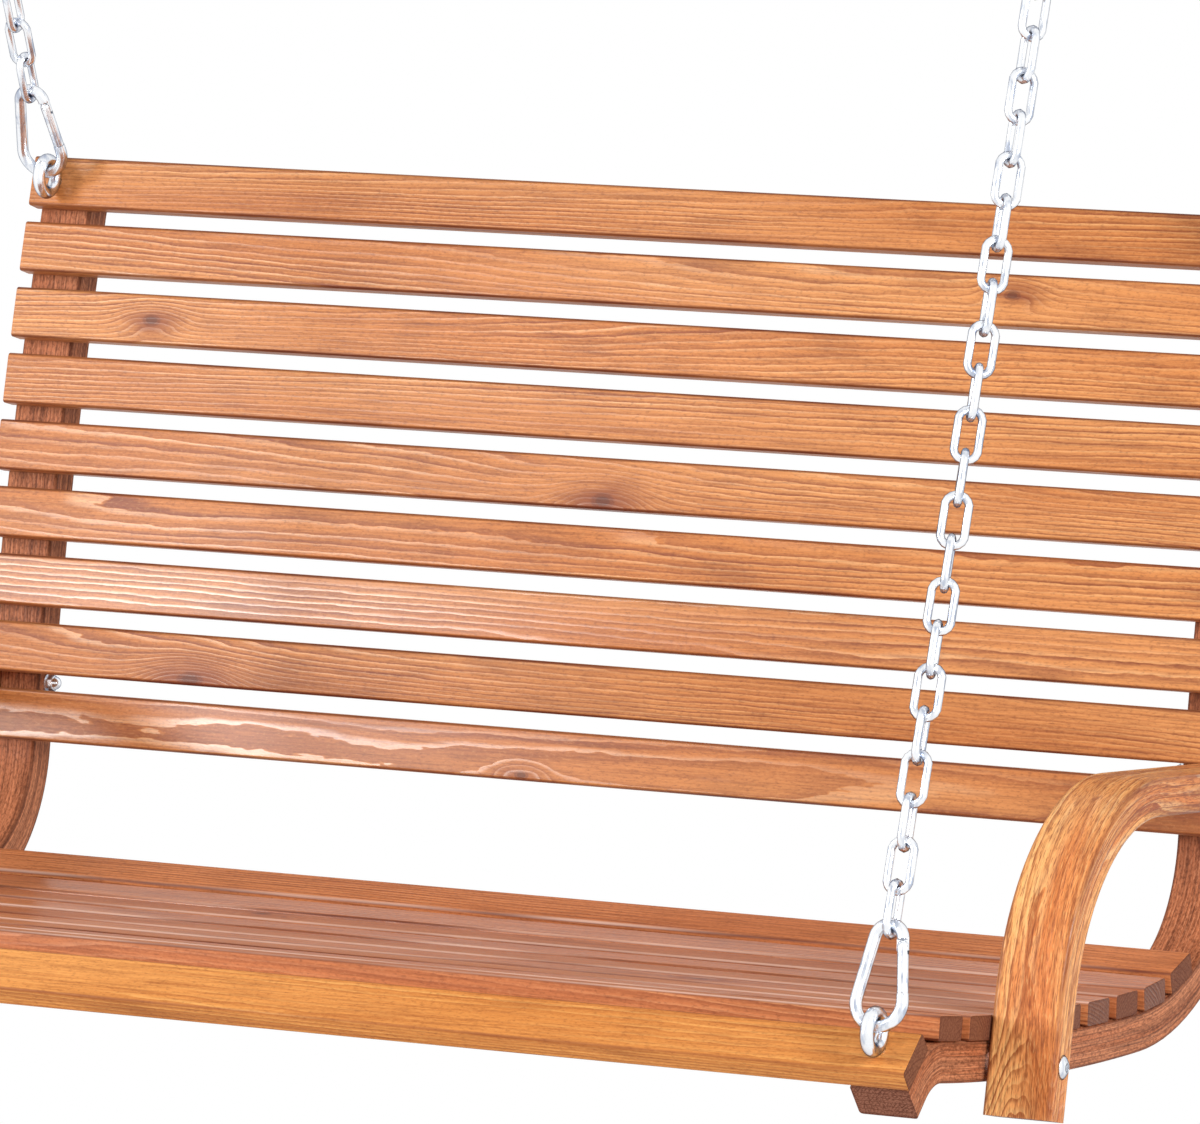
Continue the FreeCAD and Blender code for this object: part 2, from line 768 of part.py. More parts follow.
# The gate's own frame has the pin at the origin and the gate bar down -Z
gate_frame = Placement(pin_point, Rotation(Vector(0, 0, 1), limb_way))


def moved(name, feature, place):
    copy = doc.addObject("Part::Feature", name)
    shape = feature.Shape.copy()
    shape.Placement = place.multiply(shape.Placement)
    copy.Shape = shape
    return copy


half_turn = Placement(Vector(), Rotation(Vector(0, 0, 1), 180))
tongue_cuts = [
    moved("tongue_cheek_front", cheek, gate_frame),
    moved("tongue_cheek_back", cheek, gate_frame.multiply(half_turn)),
    moved("tongue_pin_hole", pin_hole, gate_frame),
]
hook = cut_from("hook", hook_blank, fused("tongue_cuts", *tongue_cuts))

gate_length = (pin_point - nose_end).Length - size("gate_gap")
gate_bar = doc.addObject("Part::Cylinder", "gate_bar")
bind(gate_bar, Radius="gate_diameter / 2")
gate_bar.Height = gate_length
gate_bar.Placement.Base = Vector(0, 0, -gate_length)
gate_end = doc.addObject("Part::Sphere", "gate_end")
bind(gate_end, Radius="gate_diameter / 2")
fork = doc.addObject("Part::Box", "gate_fork")
bind(fork, Length="2 * gate_diameter", Height="fork_depth + gate_diameter")
bind(fork, Width="tongue_thickness + 2 * fork_clearance")
fork_side = half("tongue_thickness") + size("fork_clearance")
fork.Placement.Base = Vector(-size("gate_diameter"), -fork_side, -size("fork_depth"))
gate = cut_from("gate", fused("gate_blank", gate_bar, gate_end), fused("gate_cuts", fork, pin_hole))
pin = cylinder("gate_pin", "pin_diameter / 2", "gate_diameter - 2 * gate_gap")
pin.Placement = Placement(Vector(0, gate_radius - size("gate_gap"), 0), Rotation(Vector(1, 0, 0), 90))
doc.recompute()


def hook_set(name, hook_place, label):
    # The hook and its gate; the pin is returned for its group
    finished(moved(name + "_hook_shape", hook, Placement()), label, hook_place)
    gate_place = hook_place.multiply(gate_frame)
    finished(moved(name + "_gate_shape", gate, Placement()), label + "_gate", gate_place)
    return gate_place


still = Placement()
low_pins = []
high_pins = []
end_shift = half("link_wire") + size("link_side_gap") / 2
for side, sign in (("left", -1), ("right", 1)):
    x = sign * rail_x
    for place, ring, links, shift in (
        ("front", front_ring, int(size("front_links")), -end_shift),
        ("rear", rear_ring, int(size("rear_links")), end_shift),
    ):
        start, way = chain_line(ring, x, shift)
        group("chain_%s_%s" % (place, side), link, chain_places(start, way, links), still)
        seat = Placement(start + way * hook_in_eye, Rotation(Vector(0, 0, 1), way))
        low_pins.append(hook_set(place + side, seat, "hook_%s_%s" % (place, side)))
    seat = Placement(Vector(x, 0, -hook_drop), Rotation())
    high_pins.append(hook_set("top" + side, seat, "top_hook_" + side))
group("hook_pins", pin, low_pins, still)
group("top_hook_pins", pin, high_pins, still)
doc.recompute()


# Nothing is written unless every object computed and every node is a sound solid

for feature in doc.Objects:
    if "Invalid" in feature.State or "Error" in feature.State:
        raise RuntimeError("failed: " + feature.Label)
for node in nodes:
    if node.Shape.isNull() or not node.Shape.isValid() or not node.Shape.Solids:
        raise RuntimeError("unsound: " + node.Label)

os.makedirs("parts", exist_ok=True)
for node in nodes:
    node.Shape.exportStep("parts/%s.step" % node.Label)
print("nodes", len(nodes), "solids", sum(len(node.Shape.Solids) for node in nodes))
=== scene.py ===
import bpy
import json
import math
import random
import numpy
from mathutils import Matrix, Vector


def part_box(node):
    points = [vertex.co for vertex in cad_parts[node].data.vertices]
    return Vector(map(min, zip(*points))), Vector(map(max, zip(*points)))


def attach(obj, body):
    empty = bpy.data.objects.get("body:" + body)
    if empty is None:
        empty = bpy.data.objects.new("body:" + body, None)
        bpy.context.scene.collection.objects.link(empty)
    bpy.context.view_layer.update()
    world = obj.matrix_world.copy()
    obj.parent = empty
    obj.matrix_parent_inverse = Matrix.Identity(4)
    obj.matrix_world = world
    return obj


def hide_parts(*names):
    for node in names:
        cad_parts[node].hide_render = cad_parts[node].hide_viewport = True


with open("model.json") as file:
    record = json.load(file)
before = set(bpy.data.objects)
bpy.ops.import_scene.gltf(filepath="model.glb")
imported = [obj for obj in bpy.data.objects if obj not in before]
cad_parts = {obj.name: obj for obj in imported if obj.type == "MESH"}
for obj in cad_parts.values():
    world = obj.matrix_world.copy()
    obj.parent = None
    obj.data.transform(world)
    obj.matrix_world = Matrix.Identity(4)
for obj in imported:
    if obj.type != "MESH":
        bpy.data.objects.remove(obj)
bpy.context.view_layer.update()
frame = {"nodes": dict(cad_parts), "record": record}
bodies = frame["record"]["behaviour"]["bodies"]
bodyOf = {node: body for body, nodes in bodies.items() for node in nodes}
print("frame loaded:", len(frame["nodes"]), "nodes")


# helpers for modelling as by hand

mergeWithin = 0.00001
smoothUnder = {"wood": 40, "metal": 32}


def dropSelection():
    if bpy.context.object and bpy.context.object.mode != "OBJECT":
        bpy.ops.object.mode_set(mode="OBJECT")
    bpy.ops.object.select_all(action="DESELECT")


def takeUp(piece):
    dropSelection()
    piece.select_set(True)
    bpy.context.view_layer.objects.active = piece


def clearPicks(piece, kind):
    takeUp(piece)
    bpy.ops.object.mode_set(mode="EDIT")
    bpy.ops.mesh.select_mode(type=kind)
    bpy.ops.mesh.select_all(action="DESELECT")
    bpy.ops.object.mode_set(mode="OBJECT")


def pickEdges(piece, wanted):
    # leaves the piece in edit mode with only these edges selected
    clearPicks(piece, "EDGE")
    points = piece.data.vertices
    for edge in piece.data.edges:
        first, second = edge.vertices
        edge.select = wanted(points[first].co, points[second].co)
    bpy.ops.object.mode_set(mode="EDIT")


def pickFaces(piece, wanted):
    # leaves the piece in edit mode with only these faces selected
    clearPicks(piece, "FACE")
    for face in piece.data.polygons:
        face.select = wanted(face)
    bpy.ops.object.mode_set(mode="EDIT")


def mergeDoubles(piece):
    # leaves the piece in edit mode
    takeUp(piece)
    bpy.ops.object.mode_set(mode="EDIT")
    bpy.ops.mesh.select_all(action="SELECT")
    bpy.ops.mesh.remove_doubles(threshold=mergeWithin)


def mendSkin(piece):
    # doubles merged, then the faces turned outwards
    mergeDoubles(piece)
    bpy.ops.mesh.normals_make_consistent(inside=False)
    bpy.ops.object.mode_set(mode="OBJECT")


def softShade(piece, angle):
    takeUp(piece)
    bpy.ops.object.shade_smooth_by_angle(angle=math.radians(angle))
    even = piece.modifiers.new("even", "WEIGHTED_NORMAL")
    even.keep_sharp = True
    bpy.ops.object.modifier_apply(modifier=even.name)


def setDown(piece, matrix):
    # the place goes into the mesh
    takeUp(piece)
    piece.matrix_world = matrix
    bpy.ops.object.transform_apply(location=True, rotation=True, scale=True)


def anotherOf(piece, name):
    copy = piece.copy()
    copy.data = piece.data.copy()
    copy.name = name
    bpy.context.scene.collection.objects.link(copy)
    return copy


def copyOfNode(node, name):
    copy = bpy.data.objects.new(name, frame["nodes"][node].data.copy())
    bpy.context.scene.collection.objects.link(copy)
    return copy


def writeVectors(mesh, name, values):
    layer = mesh.attributes.new(name, "FLOAT_VECTOR", "POINT")
    layer.data.foreach_set("vector", [part for value in values for part in value])


def writeFaces(mesh, name, values):
    layer = mesh.attributes.new(name, "FLOAT", "FACE")
    layer.data.foreach_set("value", values)


def putOn(piece, finish, slot, *nodes):
    piece.data.materials.clear()
    piece.data.materials.append(finish)
    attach(piece, bodyOf[nodes[0]])
    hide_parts(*nodes)


# shader sums: a socket that takes plus, minus, times and so on

class Wire:
    def __init__(self, graph, socket):
        self.graph = graph
        self.socket = socket

    def maths(self, operation, *values):
        return self.graph.add("ShaderNodeMath", {"operation": operation}, dict(enumerate(values)))

    def __add__(self, other):
        return self.maths("ADD", self, other)

    def __radd__(self, other):
        return self.maths("ADD", other, self)

    def __sub__(self, other):
        return self.maths("SUBTRACT", self, other)

    def __rsub__(self, other):
        return self.maths("SUBTRACT", other, self)

    def __mul__(self, other):
        return self.maths("MULTIPLY", self, other)

    def __rmul__(self, other):
        return self.maths("MULTIPLY", other, self)

    def __truediv__(self, other):
        return self.maths("DIVIDE", self, other)

    def __rtruediv__(self, other):
        return self.maths("DIVIDE", other, self)

    def __pow__(self, other):
        return self.maths("POWER", self, other)

    def fraction(self):
        return self.maths("FRACT", self)

    def floor(self):
        return self.maths("FLOOR", self)

    def size(self):
        return self.maths("ABSOLUTE", self)

    def most(self, other):
        return self.maths("MAXIMUM", self, other)

    def rise(self, low, high):
        # 0 below low, 1 above high, smooth between
        return self.graph.add(
            "ShaderNodeMapRange",
            {"interpolation_type": "SMOOTHSTEP"},
            {"Value": self, "From Min": low, "From Max": high},
        )


class Graph:
    def __init__(self, tree):
        self.tree = tree

    def add(self, kind, settings=None, sockets=None, out=0):
        node = self.tree.nodes.new(kind)
        for name, value in (settings or {}).items():
            setattr(node, name, value)
        for name, value in (sockets or {}).items():
            if isinstance(value, Wire):
                self.tree.links.new(value.socket, node.inputs[name])
            else:
                node.inputs[name].default_value = value
        return Wire(self, node.outputs[out]) if len(node.outputs) else node

    def attribute(self, name, out="Vector"):
        return self.add("ShaderNodeAttribute", {"attribute_name": name}, out=out)

    def parts(self, vector):
        first = self.add("ShaderNodeSeparateXYZ", None, {0: vector})
        return [Wire(self, socket) for socket in first.socket.node.outputs]

    def joined(self, x, y, z):
        return self.add("ShaderNodeCombineXYZ", None, {0: x, 1: y, 2: z})

    def vectorSum(self, first, second):
        return self.add("ShaderNodeVectorMath", {"operation": "ADD"}, {0: first, 1: second})

    def scaled(self, vector, factors):
        return self.add("ShaderNodeVectorMath", {"operation": "MULTIPLY"}, {0: vector, 1: factors})

    def noise(self, vector, scale, detail=2.0, roughness=0.5):
        place = self.scaled(vector, scale)
        sockets = {"Vector": place, "Scale": 1.0, "Detail": detail, "Roughness": roughness}
        return self.add("ShaderNodeTexNoise", None, sockets)

    def chance(self, value):
        # one even number from 0 to 1 for each input number
        return self.add("ShaderNodeTexWhiteNoise", {"noise_dimensions": "1D"}, {"W": value})

    def blend(self, factor, first, second):
        sockets = {0: factor, 6: first, 7: second}
        return self.add("ShaderNodeMix", {"data_type": "RGBA"}, sockets, out=2)

    def bump(self, height, strength, distance):
        sockets = {"Height": height, "Strength": strength, "Distance": distance}
        return self.add("ShaderNodeBump", None, sockets)

    def seen(self):
        # 1 where the stage is looked at, straight, mirrored or through something
        ray = self.add("ShaderNodeLightPath", out="Is Camera Ray")
        gloss = self.add("ShaderNodeLightPath", out="Is Glossy Ray")
        through = self.add("ShaderNodeLightPath", out="Is Transmission Ray")
        return ray.most(gloss).most(through)


def newFinish(name):
    finish = bpy.data.materials.new(name)
    finish.use_nodes = True
    finish.node_tree.nodes.clear()
    return finish, Graph(finish.node_tree)


def closeFinish(graph, sockets):
    shader = graph.add("ShaderNodeBsdfPrincipled", None, sockets)
    graph.add("ShaderNodeOutputMaterial", None, {"Surface": shader})


def tint(red, green, blue):
    # screen colour, 0 to 255, as the light values that nodes take
    def light(value):
        value = value / 255
        return value / 12.92 if value <= 0.04045 else ((value + 0.055) / 1.055) ** 2.4
    return (light(red), light(green), light(blue), 1.0)


# stained softwood: year rings in log coordinates, knots, stain, painted shade along the long edges,
# painted highlights on the seat's front edges, cut ends

# noise scales along, across and through the log
logScale = {
    "slow": (1.1, 9.0, 9.0), "sway": (5.5, 38.0, 38.0), "shiver": (55.0, 240.0, 240.0),
    "zone": (3.0, 26.0, 26.0), "streak": (3.6, 170.0, 170.0), "cloud": (6.0, 30.0, 30.0),
}
# layers are counted from far below, and each is shifted in the log
lamination = {"fill": 0.98, "below": 50.0, "along": 3.7, "aside": 0.02}
# a knot's form, and how far it bends the rings, in knot sizes
knotForm = {"squeeze": 0.6, "bendAlong": 7.0, "bendAcross": 3.0, "ragged": 0.7}


def larchFinish(name, look):
    finish, g = newFinish(name)
    stick = g.attribute("stick")
    tree = g.attribute("tree")
    cutEnd = g.attribute("cutEnd", out="Fac")
    lacquer = g.attribute("lacquer", out="Fac")
    shade = g.attribute("shade", out="Fac")
    along, across, depth = g.parts(stick)
    knotAlong, knotAcross, knotSize = g.parts(g.attribute("knot"))
    wide = across.size() / look["halfWidth"]
    thick = depth.size() / look["halfDepth"]

    if look["layers"]:
        # every lamination is cut from another place in the log
        layerAt = depth / look["layers"] * lamination["fill"] + lamination["below"]
        layerLuck = g.chance(layerAt.floor())
        aside = (layerLuck - 0.5) * lamination["aside"]
        deeper = layerLuck * lamination["aside"]
        shift = g.joined(layerLuck * lamination["along"], aside, deeper)
        tree = g.vectorSum(tree, shift)
        inside = 1.0 - thick.rise(0.86, 0.94)
        glue = ((layerAt.fraction() - 0.5).size() * 2.0).rise(0.82, 0.96) * inside

    farAlong = along - knotAlong
    farAcross = across - knotAcross
    knotFar = ((farAlong * knotForm["squeeze"]) ** 2.0 + farAcross ** 2.0) ** 0.5 / knotSize
    swellAlong = (farAlong / (knotSize * knotForm["bendAlong"])) ** 2.0
    swell = swellAlong + (farAcross / (knotSize * knotForm["bendAcross"])) ** 2.0
    push = 1.0 / (1.0 + swell * swell)

    slow = g.noise(tree, logScale["slow"], 1.0)
    sway = g.noise(tree, logScale["sway"])
    shiver = g.noise(tree, logScale["shiver"], 1.0)
    treeAcross, treeDepth = g.parts(tree)[1:]
    radius = (treeAcross ** 2.0 + treeDepth ** 2.0) ** 0.5
    radius = radius + (slow - 0.5) * look["drift"] + (sway - 0.5) * look["wiggle"]
    radius = radius + (shiver - 0.5) * look["shiver"] + push * knotSize * look["lift"]
    phase = radius / look["ring"]
    ringLuck = g.chance(phase.floor())
    ring = phase.fraction()
    zone = g.noise(tree, logScale["zone"]).rise(0.35, 0.62)
    late = ring.rise(0.5, 0.92) * (1.0 - ring.rise(0.94, 1.0))
    late = late * (0.3 + 0.7 * ringLuck) * (0.4 + 0.6 * zone)
    early = (1.0 - ring.rise(0.05, 0.4)) * (0.4 + 0.6 * ringLuck)

    fibre = g.noise(tree, look["fibreScale"], 3.0, 0.65)
    speck = g.noise(tree, look["speckScale"], 2.0, 0.6)
    streak = g.noise(tree, logScale["streak"])
    cloud = g.noise(tree, logScale["cloud"], 3.0, 0.6)
    tone = g.noise(tree, look["toneScale"], 1.0)

    colour = g.blend(tone.rise(0.3, 0.7), look["pale"], look["warm"])
    colour = g.blend(early * zone * 0.6, colour, look["light"])
    colour = g.blend(late * look["contrast"], colour, look["late"])
    colour = g.blend(streak.rise(0.52, 0.78) * look["streak"], colour, look["late"])
    colour = g.blend(fibre.rise(0.4, 0.72) * look["fibre"], colour, look["dark"])
    colour = g.blend(speck.rise(*look["fleck"]) * look["speck"], colour, look["dark"])
    colour = g.blend((1.0 - speck.rise(0.3, 0.45)) * look["paleFleck"], colour, look["light"])
    colour = g.blend(cloud.rise(0.5, 0.78) * look["stain"], colour, look["dark"])
    if look["layers"]:
        colour = g.blend(layerLuck * look["layerShade"], colour, look["dark"])
        colour = g.blend(glue * look["glue"], colour, look["dark"])

    knotFar = knotFar + (streak - 0.5) * knotForm["ragged"]
    knotDisc = 1.0 - knotFar.rise(0.55, 1.0)
    knotRim = knotFar.rise(0.7, 0.95) * (1.0 - knotFar.rise(1.0, 1.3))
    smoke = (1.0 - knotFar.rise(0.8, 6.0)) * cloud.rise(0.3, 0.6)
    colour = g.blend(smoke * look["smoke"], colour, look["late"])
    colour = g.blend(knotDisc * 0.7, colour, look["knot"])
    colour = g.blend(knotRim * 0.5, colour, look["dark"])

    # painted shade along the rounded long edges, as under the lower edges and down in the seat's
    # gaps, darker in patches
    edge = wide.rise(0.86, 0.96) * thick.rise(0.7, 0.92)
    patchy = 0.6 + 0.4 * cloud.rise(0.35, 0.65)
    colour = g.blend(edge * patchy * look["edge"], colour, look["dark"])
    if look["frontGlint"]:
        # painted highlight: the front upper edge of each seat slat paler, where it would catch the
        # lamps
        front = (0.0 - across / look["halfWidth"]).rise(0.78, 0.92)
        upper = (depth / look["halfDepth"]).rise(0.8, 0.95)
        colour = g.blend(front * upper * zone * look["frontGlint"], colour, look["glintTint"])
    # each piece's own darker tone, and on the arms also the painted shade of the upper bend
    colour = g.blend(shade, colour, look["dark"])

    # cut ends soak it up
    border = wide.rise(0.84, 1.0).most(thick.rise(0.72, 1.0))
    soaked = g.blend(late, look["end"], look["knot"])
    soaked = g.blend(speck.rise(0.44, 0.62) * 0.6, soaked, look["knot"])
    soaked = g.blend(border * cloud.rise(0.3, 0.6) * 0.6, soaked, look["knot"])
    if look["layers"]:
        soaked = g.blend(glue * 0.7, soaked, look["knot"])
    colour = g.blend(cutEnd * 0.95, colour, soaked)

    height = late * 0.6 + fibre * 0.35 - knotRim * 0.4
    closeFinish(g, {
        "Base Color": colour,
        "Roughness": look["rough"] + 0.2 * fibre - 0.12 * late + 0.3 * cutEnd,
        "Specular IOR Level": look["gloss"],
        "Normal": g.bump(height, *look["relief"]),
        "Coat Weight": lacquer * (0.25 + 0.75 * early) * look["coat"],
        "Coat Roughness": look["coatRough"],
    })
    return finish


slatLook = {
    "light": tint(245, 184, 118), "pale": tint(226, 152, 89), "warm": tint(207, 128, 67),
    "late": tint(134, 62, 31), "dark": tint(102, 47, 30), "knot": tint(80, 38, 26),
    "end": tint(120, 74, 54), "halfWidth": 0.0225, "halfDepth": 0.01, "ring": 0.0036,
    "drift": 0.03, "wiggle": 0.0055, "shiver": 0.0012, "lift": 2.6, "contrast": 0.85,
    "streak": 0.36, "fibre": 0.38, "speck": 0.36, "stain": 0.36, "edge": 1.0, "smoke": 0.75,
    "fleck": (0.5, 0.75), "paleFleck": 0.15, "fibreScale": (14.0, 480.0, 480.0),
    "speckScale": (220.0, 560.0, 560.0), "toneScale": (1.6, 12.0, 12.0), "layers": 0, "frontGlint": 0,
    "rough": 0.45, "gloss": 0.14, "coat": 0.7, "coatRough": 0.2, "relief": (0.4, 0.0005),
}
# the back's larch in darker colours for the seat: painted shade for tops that take less light, with
# painted highlights on the front edges
shadedSeatLook = dict(
    slatLook, light=tint(236, 166, 112), pale=tint(218, 138, 86), warm=tint(200, 118, 70),
    frontGlint=0.75, glintTint=tint(240, 196, 174),
)
railLook = dict(
    slatLook, light=tint(232, 160, 118), pale=tint(217, 140, 98), warm=tint(191, 113, 73),
    late=tint(106, 52, 32), dark=tint(74, 36, 24), end=tint(146, 96, 76), halfWidth=0.025,
    halfDepth=0.0165, layers=0.0047, layerShade=0.3, glue=0.5, ring=0.0025, contrast=0.65,
    streak=0.65, fibre=0.6, speck=0.5, edge=0.6, fleck=(0.47, 0.66), paleFleck=0.3, rough=0.5,
    gloss=0.12, coat=0.1,
)
armLook = dict(
    slatLook, light=tint(255, 210, 138), pale=tint(252, 180, 110), warm=tint(226, 136, 74),
    late=tint(138, 60, 26), dark=tint(116, 54, 30), halfWidth=0.029, halfDepth=0.016,
    layers=0.008, layerShade=0.1, glue=0.6, ring=0.0044, drift=0.05, wiggle=0.012, lift=-2.6,
    contrast=0.95, streak=0.45, fibre=0.55, speck=0.62, stain=0.5, edge=0.6, smoke=0.15,
    fleck=(0.5, 0.68), paleFleck=0.3, fibreScale=(34.0, 520.0, 520.0),
    speckScale=(110.0, 900.0, 900.0), toneScale=(7.0, 26.0, 26.0), coat=0.6,
)
boardLook = dict(
    slatLook, light=tint(245, 184, 106), pale=tint(229, 156, 86), warm=tint(211, 132, 62),
    late=tint(160, 82, 34), dark=tint(122, 58, 28), contrast=0.5, streak=0.5, fibre=0.4,
    stain=0.4, edge=0.7, coat=0.3,
)
slatFinish = larchFinish("stainedLarch", slatLook)
shadedSeatFinish = larchFinish("seatLarch", shadedSeatLook)
railFinish = larchFinish("darkLarch", railLook)
armFinish = larchFinish("goldenLarch", armLook)
boardFinish = larchFinish("boardLarch", boardLook)


# bright zinc with grey patches stretched upright: painted dark reflections; the same noise varies the
# roughness; a metal's darker edge tint

zincLook = {
    "bright": tint(248, 250, 253), "grey": tint(192, 200, 216), "turned": tint(80, 92, 120),
    "rough": 0.18, "uneven": 0.1, "reflectionPatchScale": (160.0, 160.0, 50.0),
    "speckScale": (700.0, 700.0, 700.0), "relief": (0.08, 0.0002),
}


def zincFinish(name, look):
    finish, g = newFinish(name)
    place = g.add("ShaderNodeTexCoord", out="Object")
    cloud = g.noise(place, look["reflectionPatchScale"])
    speck = g.noise(place, look["speckScale"])
    closeFinish(g, {
        # grey patches: painted dark reflections
        "Base Color": g.blend(cloud.rise(0.45, 0.7), look["bright"], look["grey"]),
        "Metallic": 1.0,
        "Roughness": look["rough"] + look["uneven"] * cloud,
        "Specular Tint": look["turned"],
        "Normal": g.bump(speck, *look["relief"]),
    })
    return finish


zinc = zincFinish("brightZinc", zincLook)
print("finishes made")


# slats: one modelled, then copied to each place with its own cut from the log

# pith: how far the heart of the log lies aside of a piece and behind it
slat = {
    "length": 1.2, "width": 0.045, "thickness": 0.02, "round": 0.003, "arris": 0.0009,
    "near": 0.001, "endSlice": 0.0005, "seed": 7, "skew": 2.2, "flatSkew": 1.2,
    "pith": ((0.012, 0.05), (0.025, 0.06)),
}
log = {"length": 40, "sideSkew": 0.4}
knots = {
    "back_slat_2": (0.36, 0.004, 0.004), "back_slat_3": (-0.46, -0.001, 0.0045),
    "back_slat_5": (0.0, -0.015, 0.006), "back_slat_8": (-0.385, -0.018, 0.0065),
    "back_slat_9": (-0.055, -0.018, 0.0035), "seat_slat_4": (0.3, 0.0, 0.005),
    "seat_slat_7": (-0.2, 0.006, 0.005),
}
noKnot = (9.0, 9.0, 0.001)
# the pith of slats that show broad figure
flatSawn = {
    "back_slat_7": ((0.02, 0.03), (0.03, 0.04)),
    "back_slat_9": ((0.0, 0.004), (0.04, 0.05)),
}
# lacquer and stain of each slat, from the top of the back down and from the seat's front to its rear
lacquers = {
    "back": [0.6, 0.85, 0.9, 1.0, 1.15, 0.85, 1.35, 0.35, 1.4],
    "seat": [0.4, 1.2, 0.5, 0.8, 0.5, 1.1, 0.4, 1.3, 0.3],
    "front": [0.4],
}
shades = {
    "back": [0.12, 0.08, 0.05, 0.09, 0.1, 0.05, 0.09, 0.16, 0.14],
    "seat": [0.05, 0.0, 0.12, 0.02, 0.14, 0.0, 0.12, 0.0, 0.04],
    "front": [0.0],
}
alongX = Vector((1, 0, 0))
sitterSide = Vector((0, -0.7, 0.7))


def modelSlat():
    dropSelection()
    bpy.ops.mesh.primitive_cube_add(size=1)
    blank = bpy.context.object
    blank.scale = (slat["length"], slat["width"], slat["thickness"])
    bpy.ops.object.transform_apply(scale=True)
    half = slat["length"] / 2
    near = slat["near"]
    pickEdges(blank, lambda a, b: abs(a.x - b.x) > half)
    bpy.ops.mesh.bevel(offset=slat["round"], segments=4, affect="EDGES")
    pickEdges(blank, lambda a, b: abs(a.x - b.x) < near and abs(abs(a.x) - half) < near)
    bpy.ops.mesh.bevel(offset=slat["arris"], segments=2, affect="EDGES")
    mendSkin(blank)
    softShade(blank, smoothUnder["wood"])
    mesh = blank.data
    writeVectors(mesh, "stick", [tuple(v.co) for v in mesh.vertices])
    ends = [1.0 if abs(face.normal.x) > 0.9 else 0.0 for face in mesh.polygons]
    writeFaces(mesh, "cutEnd", ends)
    return blank


def endFrame(node):
    # middle and lean of a slat, from the ring of points at its right end
    mesh = frame["nodes"][node].data
    low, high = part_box(node)
    endAt = high.x - slat["endSlice"]
    ring = numpy.array([v.co[1:] for v in mesh.vertices if v.co.x > endAt])
    ring = numpy.unique(ring.round(6), axis=0)
    middle = (ring.min(0) + ring.max(0)) / 2
    wide = numpy.linalg.eigh(numpy.cov((ring - middle).T))[1][:, 1]
    across = Vector((0, wide[0], wide[1]))
    outward = alongX.cross(across)
    if outward.dot(sitterSide) < 0:
        across = -across
        outward = -outward
    place = Matrix((alongX, across, outward)).transposed().to_4x4()
    place.translation = ((low.x + high.x) / 2, middle[0], middle[1])
    return place


def cutFromLog(piece, luck, skew, aside, behind):
    # log coordinates of every point: a slightly skew plank, the pith aside of it and behind
    turn = Matrix.Rotation(math.radians(luck.uniform(-skew, skew)), 3, "Y")
    sideTurn = luck.uniform(-skew, skew) * log["sideSkew"]
    turn = turn @ Matrix.Rotation(math.radians(sideTurn), 3, "Z")
    start = luck.uniform(0, log["length"])
    away = Vector((start, luck.choice((-1, 1)) * luck.uniform(*aside), luck.uniform(*behind)))
    stick = piece.data.attributes["stick"].data
    writeVectors(piece.data, "tree", [tuple(turn @ Vector(item.vector) + away) for item in stick])


def setKnot(piece, knot):
    writeVectors(piece.data, "knot", [knot] * len(piece.data.vertices))


def setLacquer(piece, share, shade=0.0):
    writeFaces(piece.data, "lacquer", [share] * len(piece.data.polygons))
    writeFaces(piece.data, "shade", [shade] * len(piece.data.polygons))


pattern = modelSlat()
luck = random.Random(slat["seed"])
slatNodes = [node for node in sorted(frame["nodes"]) if "_slat_" in node] + ["front_board"]
for node in slatNodes:
    piece = anotherOf(pattern, node + "_wood")
    if node in flatSawn:
        cutFromLog(piece, luck, slat["flatSkew"], *flatSawn[node])
    else:
        cutFromLog(piece, luck, slat["skew"], *slat["pith"])
    setKnot(piece, knots.get(node, noKnot))
    place = node.split("_")[0]
    order = int(node.split("_")[-1]) - 1 if "_slat_" in node else 0
    setLacquer(piece, lacquers[place][order], shades[place][order])
    setDown(piece, endFrame(node))
    if node == "front_board":
        putOn(piece, boardFinish, "golden_larch", node)
    else:
        putOn(piece, shadedSeatFinish if "seat" in node else slatFinish, "stained_larch", node)
bpy.data.objects.remove(pattern)
print("slats laid:", len(slatNodes))


# bent laminations: a rounded end face, extruded along each run and spun round each bend

# a run is a length and its turn; a bend is nothing, its turn and its radius
rail = {
    "nodes": "side_rail_", "width": 0.05, "thickness": 0.033, "round": 0.003, "heading": 38.2,
    "runs": [
        (0.0179, 0), (None, -48.35, 0.0577), (0.4004, 7.0),
        (None, 27.8, 0.29), (None, 56.4, 0.126), (0.5183, -9.5),
    ],
    "skew": 0.8, "pith": slat["pith"], "knot": noKnot, "lacquer": 0.5,
}
arm = {
    "nodes": "armrest_", "width": 0.058, "thickness": 0.032, "round": 0.004, "heading": 76.0,
    "turn": -82.5, "bend": 0.175, "leg": 0.2, "top": 0.3, "fits": 3,
    "skew": 5.0, "pith": ((0.002, 0.012), (0.015, 0.03)), "knot": (-0.05, 0.004, 0.012),
    # the last two entries paint shade on the upper bend: how dark, and over which stretch along the
    # arm
    "lacquer": 1.2, "stain": 0.16, "stained": (0.18, 0.38),
}
bends = {"seed": 21, "fewest": 6, "degrees": 3.0, "reach": 0.02, "tie": 1e-7}


def heading(angle):
    return Vector((0, math.cos(math.radians(angle)), math.sin(math.radians(angle))))


def layOut(spec, start, runs):
    # corner, heading, length and turn of every run
    table = []
    point = Vector(start)
    angle = spec["heading"]
    for run in runs:
        length, turn = run[:2]
        if length is None:
            length = run[2] * math.radians(abs(turn))
        table.append((point.copy(), angle, length, turn))
        half = math.radians(turn) / 2
        reach = length * (math.sin(half) / half if turn else 1)
        point = point + heading(angle + turn / 2) * reach
        angle += turn
    return table


